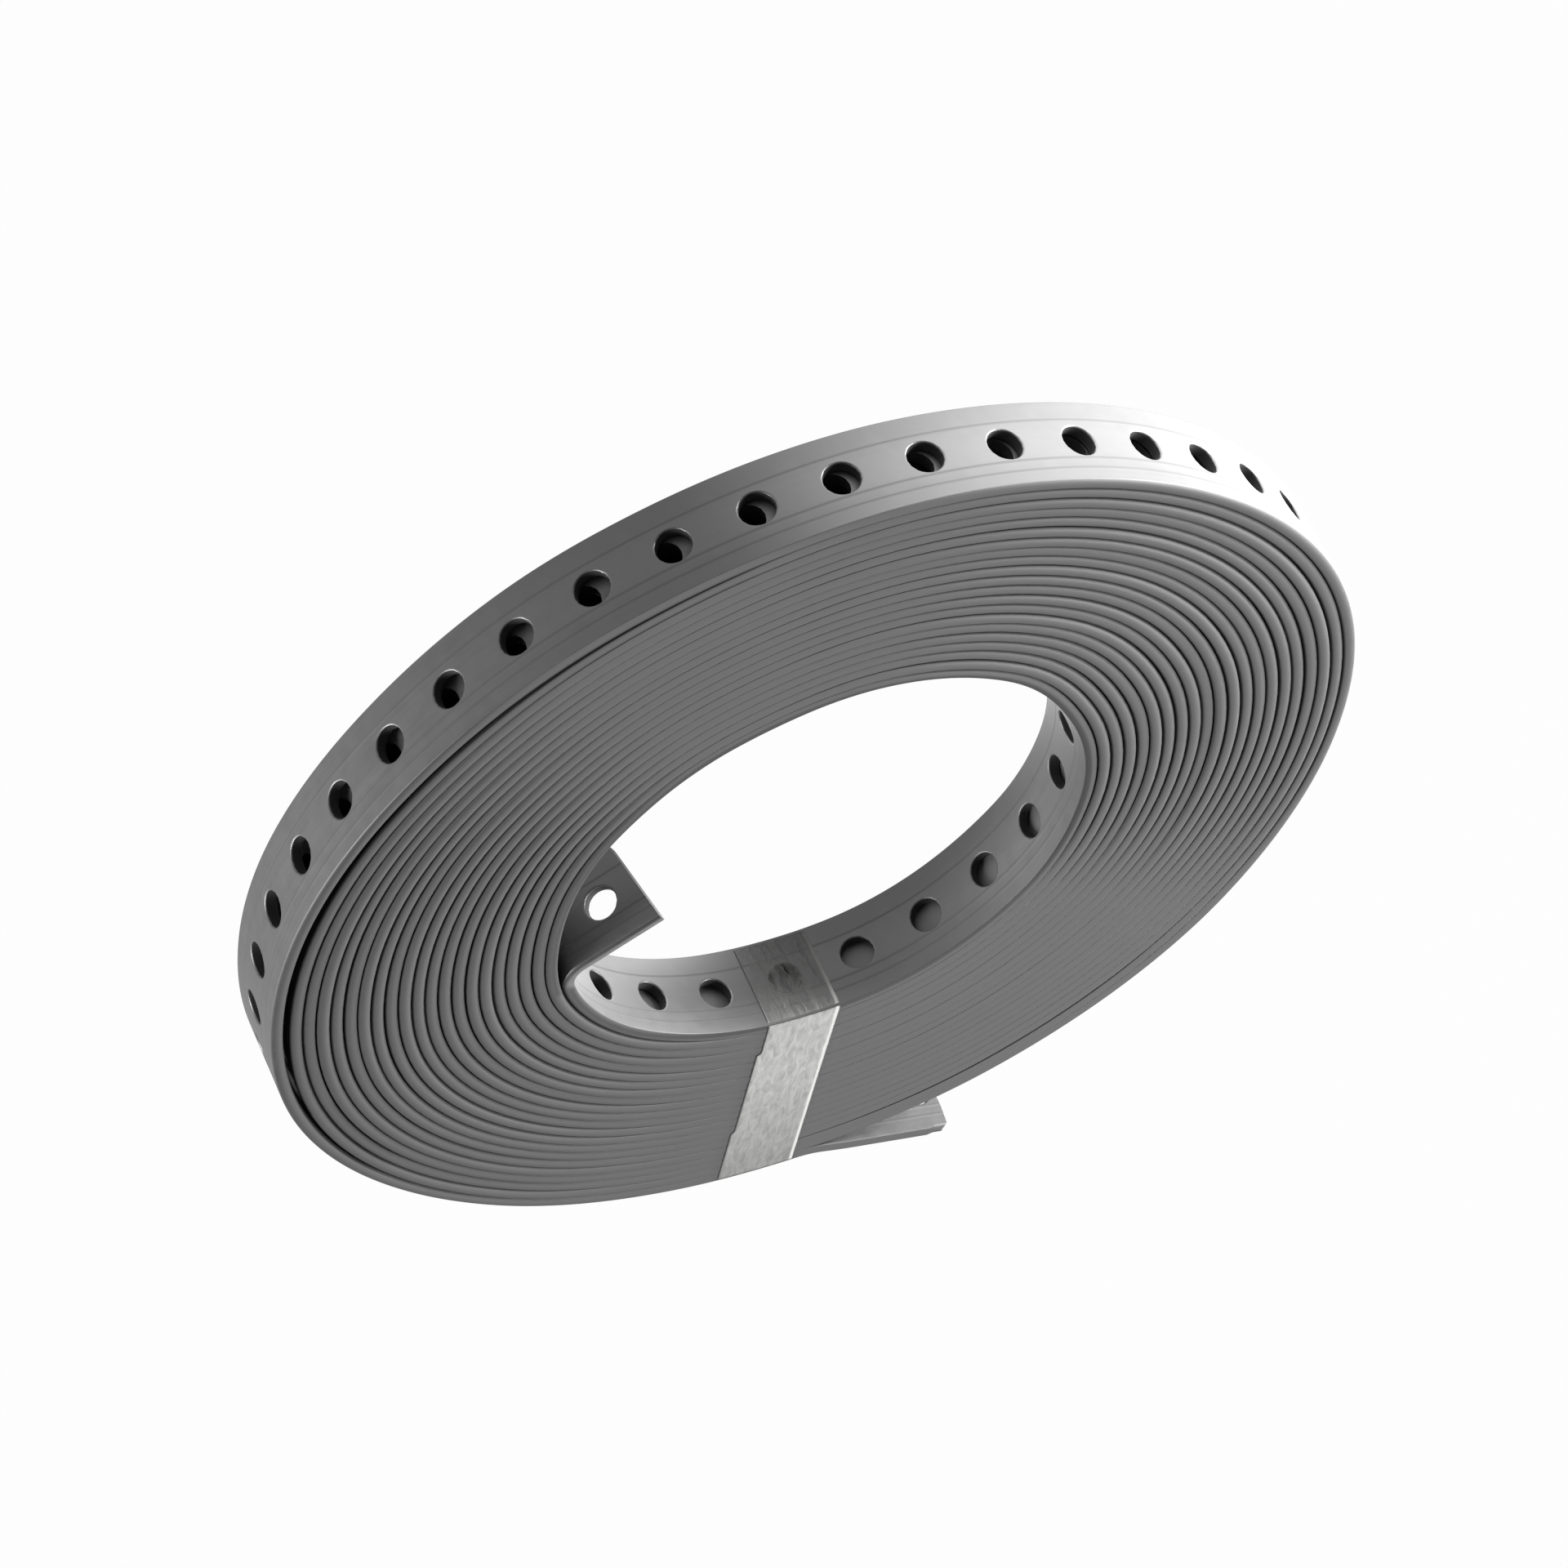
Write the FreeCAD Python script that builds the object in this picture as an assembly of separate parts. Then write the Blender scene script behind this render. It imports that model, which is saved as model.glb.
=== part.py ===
# Perforated steel strap, sold as a coil that is held by one turn of clear tape.
# Units are millimetres, +Z is the coil's axis, and the coil lies on its end face.
import math
import os

import FreeCAD
import Part
from FreeCAD import Vector

# Driving dimensions of the strap
strapWidth = 17.0
strapThickness = 2.25
holeDiameter = 6.0
holePitch = 14.0
edgeChamfer = 0.6

# Driving dimensions of the coil
boreRadius = 47.8
turnPitch = 2.35
fullTurns = 21
seamAngle = -157.1
grooveDepth = 0.7

# The outermost turn springs away from the roll on one side
liftStart = 255.0
liftSweep = 25.0
liftHeight = 0.9
overlapStart = 16.0
strapLeadIn = 8.0

# The outer end passes under the tape, bends outwards and stands free
tailStart = 74.0
tailBendRadius = 20.0
tailBendAngle = 15.0
tailLength = 27.5
tailTipToHole = 4.0

# The inner end is bent across the bore, and its tip is cut a little askew
tabBendRadius = 5.0
tabBendAngle = 77.0
tabLength = 16.0
tabTipSkew = 2.8
tabTipToHole = 8.4
firstBoreHole = 5.5

# Clear tape, one loop round the roll's section
tapeWidth = 15.0
tapeOffset = 3.4
tapeThickness = 0.15
tapeClearance = 0.05

# Worked out from the driving dimensions
gap = turnPitch - strapThickness
holeRadius = holeDiameter / 2
rollTurns = fullTurns - 1
outerInnerRadius = boreRadius + rollTurns * turnPitch
overlap = 0.3
holeReach = turnPitch / 2
zAxis = Vector(0, 0, 1)
origin = Vector(0, 0, 0)


def direction(angle):
    """Unit vector in the coil's plane at an angle in degrees."""
    return Vector(math.cos(math.radians(angle)), math.sin(math.radians(angle)), 0)


# Every turn is two half circles: one about the origin, one about a centre half a pitch
# towards the seam with a radius half a pitch larger. Together they make one spiral.
centreA = origin
centreB = direction(seamAngle) * (turnPitch / 2)


def rollProfile(shift, outerEnd):
    """Section of the wound turns in the X-Z plane, every strap edge a ridge."""
    first = boreRadius + shift
    top = [(first, strapWidth - edgeChamfer)]
    for turn in range(rollTurns):
        inner = first + turn * turnPitch
        top.append((inner + strapThickness / 2, strapWidth))
        if turn < rollTurns - 1:
            valley = inner + strapThickness + gap / 2
            top.append((valley, strapWidth - grooveDepth))
    lastFace = first + (rollTurns - 1) * turnPitch + strapThickness
    if outerEnd > lastFace:
        top.append((lastFace + gap / 2, strapWidth - grooveDepth))
        top.append((outerEnd, strapWidth - grooveDepth))
    else:
        top.append((lastFace, strapWidth - edgeChamfer))
    bottom = [(r, strapWidth - z) for r, z in reversed(top)]
    points = [Vector(r, 0, z) for r, z in top + bottom]
    return Part.Face(Part.makePolygon(points + points[:1]))


def rollSector(shift, outerEnd, centre, start, sweep):
    """Part of the roll between two angles measured from the seam."""
    sector = rollProfile(shift, outerEnd).revolve(origin, zAxis, sweep)
    sector.rotate(origin, zAxis, seamAngle + start)
    sector.translate(centre)
    return sector


def makeRoll():
    """All turns but the outermost one, as one solid with its bore."""
    half = turnPitch / 2
    inside = boreRadius + (rollTurns - 1) * turnPitch + strapThickness
    joined = outerInnerRadius + overlap
    halfA = rollSector(0, joined, centreA, 0, 180)
    touching = rollSector(half, joined + half, centreB, 180, liftStart - 180)
    lifted = rollSector(half, inside + half, centreB, liftStart, 360 - liftStart)
    return halfA.fuse([touching, lifted])


class StrapPath:
    """Middle line of the strap in plan, made of arcs and lines that run on smoothly.

    Heading is the direction of travel, and a positive sweep turns left."""

    def __init__(self, point, heading):
        self.point = point
        self.heading = heading
        self.pieces = []
        self.length = 0.0

    def add(self, length, sweep):
        self.pieces.append((self.length, length, self.point, self.heading, sweep))
        self.point, self.heading = self.at(self.length + length)
        self.length += length

    def line(self, length):
        self.add(length, 0.0)

    def arc(self, radius, sweep):
        self.add(radius * math.radians(abs(sweep)), sweep)

    def at(self, distance):
        """Point and heading at a distance along the strap."""
        piece = [p for p in self.pieces if p[0] <= distance + 1e-9][-1]
        return self.along(piece, distance - piece[0])

    def along(self, piece, along):
        """Point and heading at a distance from the start of one piece."""
        start, length, point, heading, sweep = piece
        if sweep == 0:
            return point + direction(heading) * along, heading
        radius = length / math.radians(abs(sweep))
        side = math.copysign(90, sweep)
        centre = point + direction(heading + side) * radius
        turned = heading + sweep * along / length
        return centre - direction(turned + side) * radius, turned

    def edge(self, piece, offset):
        """One piece of the path moved to the left by an offset."""
        length, sweep = piece[1], piece[4]
        places = [self.along(piece, length * part) for part in (0, 0.5, 1)]
        moved = [p + direction(h + 90) * offset for p, h in places]
        if sweep == 0:
            return Part.makeLine(moved[0], moved[2])
        return Part.Arc(moved[0], moved[1], moved[2]).toShape()

    def strap(self):
        """The strap stood on edge along the path, with its long edges broken."""
        half = strapThickness / 2
        bands = []
        for piece in self.pieces:
            left = self.edge(piece, half)
            right = self.edge(piece, -half)
            ends = [
                Part.makeLine(left.Vertexes[0].Point, right.Vertexes[0].Point),
                Part.makeLine(left.Vertexes[-1].Point, right.Vertexes[-1].Point),
            ]
            wire = Part.Wire(Part.sortEdges([left, right] + ends)[0])
            solid = Part.Face(wire).extrude(Vector(0, 0, strapWidth))
            edges = [
                e
                for e in solid.Edges
                if abs(e.Vertexes[0].Point.z - e.Vertexes[-1].Point.z) < 1e-6
                and e.Length > 0.9 * min(left.Length, right.Length)
                and e.Length > strapThickness + 0.01
            ]
            bands.append(solid.makeChamfer(edgeChamfer, edges))
        return bands[0].fuse(bands[1:])

    def hole(self, distance):
        """Round cutter through the strap that ends in the gap to the next turn."""
        point, heading = self.at(distance)
        across = direction(heading - 90)
        start = point + across * holeReach + Vector(0, 0, strapWidth / 2)
        return Part.makeCylinder(holeRadius, 2 * holeReach, start, across * -1)


def outerPath():
    """Outermost turn with its lifted stretch, the overlap and the tail.

    It starts a little before the seam, so that it grows out of the turn below."""
    radius = outerInnerRadius + strapThickness / 2
    before = radius - turnPitch / 2
    start = centreB + direction(seamAngle - strapLeadIn) * before
    path = StrapPath(start, seamAngle - strapLeadIn + 90)
    path.arc(before, strapLeadIn)
    path.arc(radius, 180)
    radius += turnPitch / 2
    path.arc(radius, liftStart - 180)
    # Flatter, tighter, flatter: three arcs that leave the roll and meet it again.
    bow = math.cos(math.radians(liftSweep))
    flatter = liftHeight / (2 * (1 - bow))
    tighter = flatter * (2 * bow - 1)
    path.arc(radius + flatter, liftSweep)
    path.arc(radius - tighter, 2 * liftSweep)
    path.arc(radius + flatter, liftSweep)
    path.arc(radius, 360 - liftStart - 4 * liftSweep)
    path.arc(radius + turnPitch / 2, tailStart)
    path.arc(tailBendRadius, -tailBendAngle)
    path.line(tailLength)
    return path


def tabPath():
    """Inner end of the strap, from its tip through the bend to the seam."""
    radius = boreRadius + strapThickness / 2
    seam = centreA + direction(seamAngle) * radius
    back = StrapPath(seam, seamAngle - 90)
    back.arc(tabBendRadius, -tabBendAngle)
    back.line(tabLength)
    path = StrapPath(back.point, back.heading + 180)
    path.line(tabLength)
    path.arc(tabBendRadius, tabBendAngle)
    return path


def skewCut(path):
    """Wedge that makes one long edge of the strap shorter than the other at its tip."""
    point, heading = path.at(0)
    low = -1.0
    reach = tabTipSkew * (1 - low / strapWidth)
    corners = [(0, strapWidth), (low, strapWidth), (low, low), (reach, low), (0, strapWidth)]
    side = direction(heading + 90) * strapThickness
    places = [point - side + direction(heading) * s + Vector(0, 0, z) for s, z in corners]
    return Part.Face(Part.makePolygon(places)).extrude(side * 2)


def overlapFiller():
    """What closes the gap between the outermost two layers beside the tape."""
    inner = outerInnerRadius + strapThickness - overlap
    outer = outerInnerRadius + turnPitch + overlap
    low, high = grooveDepth, strapWidth - grooveDepth
    corners = [(inner, low), (outer, low), (outer, high), (inner, high), (inner, low)]
    section = Part.makePolygon([Vector(r, 0, z) for r, z in corners])
    filler = Part.Face(section).revolve(origin, zAxis, tailStart - overlapStart)
    filler.rotate(origin, zAxis, seamAngle + overlapStart)
    return filler


def outerHolePlaces(path):
    """Distances of the open hole centres along the outermost turn, from its end back."""
    covered = math.radians(strapLeadIn + tailStart) * (outerInnerRadius + strapThickness)
    count = int((path.length - tailTipToHole - covered - holeRadius) / holePitch) + 1
    return [path.length - tailTipToHole - n * holePitch for n in range(count)]


def innerPath():
    """Innermost turn, from the seam round to where the next turn covers it."""
    middle = boreRadius + strapThickness / 2
    path = StrapPath(direction(seamAngle) * middle, seamAngle + 90)
    path.arc(middle, 180)
    path.arc(middle + turnPitch / 2, 180)
    return path


def innerHolePlaces(path):
    """Distances of the hole centres along the innermost turn."""
    count = int((path.length - firstBoreHole - holeRadius) / holePitch) + 1
    return [firstBoreHole + n * holePitch for n in range(count)]


def makeCoil():
    """The whole strap as one solid."""
    outer = outerPath()
    inner = innerPath()
    tab = tabPath()
    coil = makeRoll().fuse([outer.strap(), tab.strap(), overlapFiller()])
    cutters = [outer.hole(s) for s in outerHolePlaces(outer)]
    cutters += [inner.hole(s) for s in innerHolePlaces(inner)]
    cutters += [tab.hole(tabTipToHole), skewCut(tab)]
    return coil.cut(cutters)


def tapeBox(grow):
    """Ring sector round the roll's section, grown on every side."""
    inner = boreRadius - grow
    outer = outerInnerRadius + turnPitch + strapThickness + grow
    ring = Part.makeCylinder(outer, strapWidth + 2 * grow, Vector(0, 0, -grow))
    hole = Part.makeCylinder(inner, strapWidth + 2 * grow, Vector(0, 0, -grow))
    return ring.cut(hole)


def makeTape():
    """Clear tape, a closed loop of even thickness."""
    loop = tapeBox(tapeClearance + tapeThickness).cut(tapeBox(tapeClearance))
    corner = Vector(tapeOffset - tapeWidth / 2, -150, -5)
    window = Part.makeBox(tapeWidth, 150, strapWidth + 10, corner)
    return loop.common(window)


coil = makeCoil()
tape = makeTape()
whole = Part.makeCompound([coil, tape]).BoundBox
place = Vector(-whole.Center.x, -whole.Center.y, -whole.ZMin)
parts = {"strap_coil": coil, "binding_tape": tape}

os.makedirs("parts", exist_ok=True)
for name, shape in parts.items():
    shape.translate(place)
    shape.exportStep("parts/" + name + ".step")
    print(name, "solids", len(shape.Solids), "valid", shape.isValid(), "faces", len(shape.Faces))
    print(name, shape.BoundBox)
print("moved by", place)
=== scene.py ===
# Perforated steel strap in a flat coil, held by clear tape. Built in metres, with the
# coil's axis along Z and its end face up.
import math

import bpy
import numpy as np
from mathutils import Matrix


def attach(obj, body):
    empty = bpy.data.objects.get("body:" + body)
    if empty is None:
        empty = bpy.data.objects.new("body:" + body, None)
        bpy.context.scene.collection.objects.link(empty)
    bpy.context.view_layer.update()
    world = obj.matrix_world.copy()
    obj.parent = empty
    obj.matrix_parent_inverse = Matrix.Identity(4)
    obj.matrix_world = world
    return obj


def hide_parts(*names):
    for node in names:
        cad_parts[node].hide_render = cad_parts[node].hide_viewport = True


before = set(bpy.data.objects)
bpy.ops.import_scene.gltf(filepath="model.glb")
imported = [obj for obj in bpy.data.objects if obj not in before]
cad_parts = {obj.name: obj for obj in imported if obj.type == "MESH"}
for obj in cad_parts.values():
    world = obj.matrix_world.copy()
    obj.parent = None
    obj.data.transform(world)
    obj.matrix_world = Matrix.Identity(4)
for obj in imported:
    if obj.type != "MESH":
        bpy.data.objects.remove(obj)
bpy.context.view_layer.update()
mm = 0.001


def noise(t, seed, spans):
    # Sum of sines, one for each span in millimetres, with phases drawn from the seed.
    phases = np.random.default_rng(seed).uniform(0, 2 * np.pi, len(spans))
    waves = [np.sin(2 * np.pi * t / span + p) for span, p in zip(spans, phases)]
    return sum(waves) / len(spans)


def smoothStep(t, low, high):
    # 0 before low, 1 past high, and 3x^2 - 2x^3 between them.
    x = np.clip((t - low) / (high - low), 0, 1)
    return x * x * (3 - 2 * x)


def hump(away, reach):
    # Raised cosine: 1 where away is 0, and 0 at the reach and past it.
    return 0.5 + 0.5 * np.cos(np.pi * np.clip(np.abs(away) / reach, 0, 1))


def hexToLinear(text):
    # sRGB hex to linear light, each channel by the standard two-part curve.
    channels = [int(text[i : i + 2], 16) / 255 for i in (1, 3, 5)]
    return [c / 12.92 if c <= 0.04045 else ((c + 0.055) / 1.055) ** 2.4 for c in channels] + [1.0]


def addNode(tree, kind, settings=None, **inputs):
    # One shader node. Settings are its own properties. Inputs are values or sockets, each
    # named as its socket is, with _ for a space, or by i and the socket's number.
    node = tree.nodes.new(kind)
    for name, value in (settings or {}).items():
        setattr(node, name, value)
    for name, value in inputs.items():
        numbered = name[0] == "i" and name[1:].isdigit()
        socket = node.inputs[int(name[1:]) if numbered else name.replace("_", " ")]
        if isinstance(value, bpy.types.NodeSocket):
            tree.links.new(value, socket)
        else:
            socket.default_value = value
    return node


def newMaterial(name):
    # An empty material and its node tree.
    material = bpy.data.materials.new(name)
    material.use_nodes = True
    material.node_tree.nodes.clear()
    return material, material.node_tree


# Strap: sizes in millimetres and angles in degrees. They are the part's own, but the tail
# bends a little further and is a little shorter
strap = {
    "width": 17.0,
    "thickness": 2.25,
    "hole": 6.0,
    "pitch": 14.0,
    "edgeDrop": 0.6,
    "edgeSquareness": 2.1,
    "edgeSegments": 7,
    "rimRound": 0.35,
    "boreRadius": 47.8,
    "turnPitch": 2.35,
    "turns": 21,
    "seam": -157.1,
    "liftStart": 255.0,
    "liftSweep": 25.0,
    "liftHeight": 0.9,
    "tailStart": 74.0,
    "tailBendRadius": 20.0,
    "tailBend": 17.5,
    "tailLength": 26.5,
    "tailCornerRound": 1.8,
    "tailTipToHole": 4.0,
    "tabBendRadius": 5.0,
    "tabBend": 77.0,
    "tabLength": 16.0,
    "tabTipToHole": 8.4,
    "tabTipSkew": 2.8,
    "firstBoreHole": 5.5,
    # The inner tip's skew fades between these distances from it, and the outer tip's
    # corners are rounded off over this length. From its start the tail takes this length
    # to shed this share of what the roll's being out of round gives it
    "skewFades": (0.5, 5.0),
    "tailTip": 4.0,
    "tailStraightens": 12.0,
    "tailStraightened": 0.8,
    # Where the part's frame has the coil's axis, and how high the coil's underside is
    "place": (1.2259159, 2.3969098, 0.2),
    # How far the roll stands out of round, every 30 degrees from -180 on
    "boreOffsets": (-1.3, -0.05, 0.05, 0.15, 1.1, 0.5, -0.1, -0.3, 0.9, 1.1, 0.3, -0.7),
    "rimOffsets": (-0.35, 0.4, -0.05, -0.75, 0.3, 0.65, 1.15, 1.6, 1.1, 1.2, 0.55, -0.4),
    # Slow waves of the winding: how far they go and over what lengths. They fade out
    # towards the free ends, and where the turns are tight this share of the rise is left
    "looseness": 0.09,
    "looseSpans": (97, 151, 233, 389),
    "unevenness": 0.28,
    "unevenSpans": (260, 417, 700, 1900),
    "lowestSag": -0.15,
    "fadeLength": 60.0,
    "tightUnevenness": 0.1,
    # The turns lie tight at this angle and across from it. They open between these sines
    # of the angle from there, and tight turns close this share of their gaps and edges
    "tightAt": -62.0,
    "opensFromTape": (0.5, 0.96),
    "opensAcross": (0.1, 0.75),
    "gapClosed": 0.85,
    "edgeClosed": 0.93,
    # The outermost turn springs off the roll by this much more, at this angle on it
    "springHeight": 0.85,
    "springAt": 342.0,
    "springSpread": 42.0,
    # The last turns leave this gap to the ones inside them
    "gapTurns": 2,
    "gapHeight": 0.5,
    "gapAt": 112.0,
    "gapSpread": 45.0,
}


def strapRuns():
    # The strap's middle line from the inner tip to the outer one, as runs of
    # (length, curvature): a line, a bend, half circles that grow by half a pitch each,
    # three arcs that lift the outermost turn and set it down, and the bent tail.
    d = strap
    runs = [(d["tabLength"], 0.0)]

    def arc(radius, sweep):
        runs.append((radius * math.radians(abs(sweep)), math.copysign(1 / radius, sweep)))

    arc(d["tabBendRadius"], d["tabBend"])
    half = d["turnPitch"] / 2
    middle = d["boreRadius"] + d["thickness"] / 2
    for turn in range(d["turns"] - 1):
        arc(middle + turn * d["turnPitch"], 180)
        arc(middle + turn * d["turnPitch"] + half, 180)
    outer = middle + (d["turns"] - 1) * d["turnPitch"]
    bow = math.cos(math.radians(d["liftSweep"]))
    flatter = d["liftHeight"] / (2 * (1 - bow))
    tighter = flatter * (2 * bow - 1)
    arc(outer, 180)
    arc(outer + half, d["liftStart"] - 180)
    arc(outer + half + flatter, d["liftSweep"])
    arc(outer + half - tighter, 2 * d["liftSweep"])
    arc(outer + half + flatter, d["liftSweep"])
    arc(outer + half, 360 - d["liftStart"] - 4 * d["liftSweep"])
    arc(outer + 2 * half, d["tailStart"])
    arc(d["tailBendRadius"], -d["tailBend"])
    runs.append((d["tailLength"], 0.0))
    return np.array(runs)


def runsToPath(runs):
    # Start distance, heading and place of every run, chained from (0, 0) along +X, then
    # turned and moved so that the bend ends at the seam and runs round the bore. The
    # distances of the seam, the next turns, the tail and the tip go with them.
    length, bend = runs[:, 0], runs[:, 1]
    starts = np.concatenate([[0.0], np.cumsum(length)])
    headings = np.concatenate([[0.0], np.cumsum(length * bend)])
    flat = np.abs(bend) < 1e-12
    safe = np.where(flat, 1.0, bend)
    h0, h1 = headings[:-1], headings[1:]
    dx = np.where(flat, length * np.cos(h0), (np.sin(h1) - np.sin(h0)) / safe)
    dy = np.where(flat, length * np.sin(h0), (np.cos(h0) - np.cos(h1)) / safe)
    points = np.concatenate([[0j], np.cumsum(dx + 1j * dy)])
    seam = math.radians(strap["seam"])
    turn = seam + math.pi / 2 - headings[2]
    target = (strap["boreRadius"] + strap["thickness"] / 2) * np.exp(1j * seam)
    points = (points - points[2]) * np.exp(1j * turn) + target
    points += complex(*strap["place"][:2])
    outermost = 2 * strap["turns"]
    return {
        "starts": starts,
        "headings": headings + turn,
        "points": points,
        "bend": bend,
        "seam": starts[2],
        "innermostEnd": starts[4],
        "lastButOne": starts[outermost - 2],
        "outermost": starts[outermost],
        "tail": starts[-3],
        "tip": starts[-1],
    }


def along(path, s):
    # Middle line at distance s: the run that holds s, then its line or circle. Gives the
    # place as a complex number and the heading in radians.
    run = np.clip(np.searchsorted(path["starts"], s, side="right") - 1, 0, len(path["bend"]) - 1)
    bend, h0 = path["bend"][run], path["headings"][run]
    step = s - path["starts"][run]
    flat = np.abs(bend) < 1e-12
    safe = np.where(flat, 1.0, bend)
    h = h0 + bend * step
    curved = (np.sin(h) - np.sin(h0)) / safe + 1j * (np.cos(h0) - np.cos(h)) / safe
    return path["points"][run] + np.where(flat, step * np.exp(1j * h0), curved), h


def edgeLoop():
    # One long edge of the strap from its inner face to its outer face, a flattened
    # half ellipse |x/a|^p + |z/b|^p = 1, as (depth, height) with its normals.
    p, half, drop = strap["edgeSquareness"], strap["thickness"] / 2, strap["edgeDrop"]
    turn = np.linspace(0, np.pi, strap["edgeSegments"] + 1)
    x = -np.sign(np.cos(turn)) * np.abs(np.cos(turn)) ** (2 / p)
    z = np.sin(turn) ** (2 / p)
    loop = np.stack([half * x, drop * (z - 1)], 1)
    normal = np.stack([np.sign(x) * np.abs(x) ** (p - 1) / half, z ** (p - 1) / drop], 1)
    return loop, normal / np.linalg.norm(normal, axis=1, keepdims=True)


def gridQuads(index):
    # Quads between neighbouring rows and columns of a grid of point numbers.
    corners = [index[:-1, :-1], index[1:, :-1], index[1:, 1:], index[:-1, 1:]]
    return np.stack(corners, -1).reshape(-1, 4)


def cellTemplate(steps, across, rounded, back, front):
    # One pitch of flat strap with its hole at (0, width / 2). Each wide face is a grid of
    # rings from the hole to the cell's edge, the hole's wall joins the two faces, and two
    # long edges close the section. Points are (distance, depth, height). The last value
    # is 1 on the hole's wall.
    half, r, rim = strap["thickness"] / 2, strap["hole"] / 2, strap["rimRound"]
    width, drop = strap["width"], strap["edgeDrop"]
    xs = np.linspace(-back, front, steps + 1)
    zs = np.linspace(drop, width - drop, across + 1) - width / 2
    edge = np.concatenate([
        np.stack([xs[:-1], np.full(steps, zs[0])], 1),
        np.stack([np.full(across, front), zs[:-1]], 1),
        np.stack([xs[:0:-1], np.full(steps, zs[-1])], 1),
        np.stack([np.full(across, -back), zs[:0:-1]], 1),
    ])
    count = len(edge)
    # Ring points face the edge points evenly, corner to diagonal.
    corners = np.array([0, steps, steps + across, 2 * steps + across, count])
    turns = np.interp(np.arange(count), corners, np.radians([-135, -45, 45, 135, 225]))
    ray = np.stack([np.cos(turns), np.sin(turns)], 1)
    # Each ring as (points, how far it is sunk, how far its normal leans into the hole).
    rings = [(edge, 0.0, 0.0)]
    if rounded:
        halfway = math.pi / 4
        between = 0.45
        rings.append((between * edge + (1 - between) * ray * (r + rim), 0.0, 0.0))
        rings.append((ray * (r + rim), 0.0, 0.0))
        rings.append((ray * (r + rim * (1 - math.sin(halfway))), rim * (1 - math.cos(halfway)), halfway))
        rings.append((ray * r, rim, math.pi / 2))
    else:
        rings.append((ray * r, 0.0, 0.0))
    points, normals, quads, inHole = [], [], [], []
    ring = np.arange(count)
    nextRing = np.roll(ring, -1)

    def addPoints(place, normal, wall):
        first = sum(len(p) for p in points)
        points.append(place)
        normals.append(normal)
        inHole.append(np.full(len(place), wall))
        return first

    def addRing(flat, depth, normal, wall):
        return addPoints(np.stack([flat[:, 0], depth, flat[:, 1] + width / 2], 1), normal, wall)

    def joinRings(a, b):
        quads.append(np.stack([a + ring, a + nextRing, b + nextRing, b + ring], 1))

    inward = np.stack([-ray[:, 0], np.zeros(count), -ray[:, 1]], 1)
    wall = []
    for side in (-1, 1):
        outwards = np.stack([np.zeros(count), np.full(count, side), np.zeros(count)], 1)
        last = None
        for flat, sunk, lean in rings:
            depth = np.full(count, side * (half - sunk))
            now = addRing(flat, depth, inward * math.sin(lean) + outwards * math.cos(lean), 0.0)
            if last is not None:
                joinRings(last, now)
            last = now
        wall.append(addRing(flat, depth, inward, 1.0))
    joinRings(*wall)
    loop, loopNormal = edgeLoop()
    for up in (-1, 1):
        grid = np.zeros((steps + 1, len(loop), 3))
        grid[..., 0] = xs[:, None]
        grid[..., 1] = loop[:, 0]
        grid[..., 2] = (width if up > 0 else 0) + up * loop[:, 1]
        gridNormal = np.zeros_like(grid)
        gridNormal[..., 1:] = loopNormal * [1, up]
        base = addPoints(grid.reshape(-1, 3), gridNormal.reshape(-1, 3), 0.0)
        quads.append(gridQuads(base + np.arange(grid[..., 0].size).reshape(steps + 1, -1)))
    return tuple(np.concatenate(part) for part in (points, normals, quads, inHole))


def strapSection(across):
    # The strap's section as a closed loop of (depth, height) with its normals: lower
    # edge, outer face, upper edge, inner face.
    half, drop, width = strap["thickness"] / 2, strap["edgeDrop"], strap["width"]
    loop, away = edgeLoop()
    rises = np.linspace(drop, width - drop, across + 1)[1:-1]
    outer = np.stack([np.full(across - 1, half), rises], 1)
    section = np.concatenate([loop * [1, -1], outer, loop[::-1] + [0, width], outer[::-1] * [-1, 1]])
    right = np.tile([1.0, 0.0], (across - 1, 1))
    return section, np.concatenate([away * [1, -1], right, away[::-1], -right])


def blankTemplate(length, steps, across):
    # Strap without a hole from distance 0 to length: its section carried along evenly.
    section, away = strapSection(across)
    grid = np.zeros((steps + 1, len(section), 3))
    grid[..., 0] = np.linspace(0, length, steps + 1)[:, None]
    grid[..., 1:] = section
    normal = np.zeros_like(grid)
    normal[..., 1:] = away
    index = np.arange(grid[..., 0].size).reshape(steps + 1, -1)
    quads = gridQuads(np.concatenate([index, index[:, :1]], 1))
    return grid.reshape(-1, 3), normal.reshape(-1, 3), quads, np.zeros(index.size)


def repeated(template, at):
    # Copies of a template, moved along the strap to each of the distances.
    points, normals, quads, inHole = template
    at = np.atleast_1d(at)
    moved = points + np.stack([at, 0 * at, 0 * at], 1)[:, None]
    quads = quads + (np.arange(len(at)) * len(points))[:, None, None]
    copies = (len(at), 1)
    return moved.reshape(-1, 3), np.tile(normals, copies), quads.reshape(-1, 4), np.tile(inHole, len(at))


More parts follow.
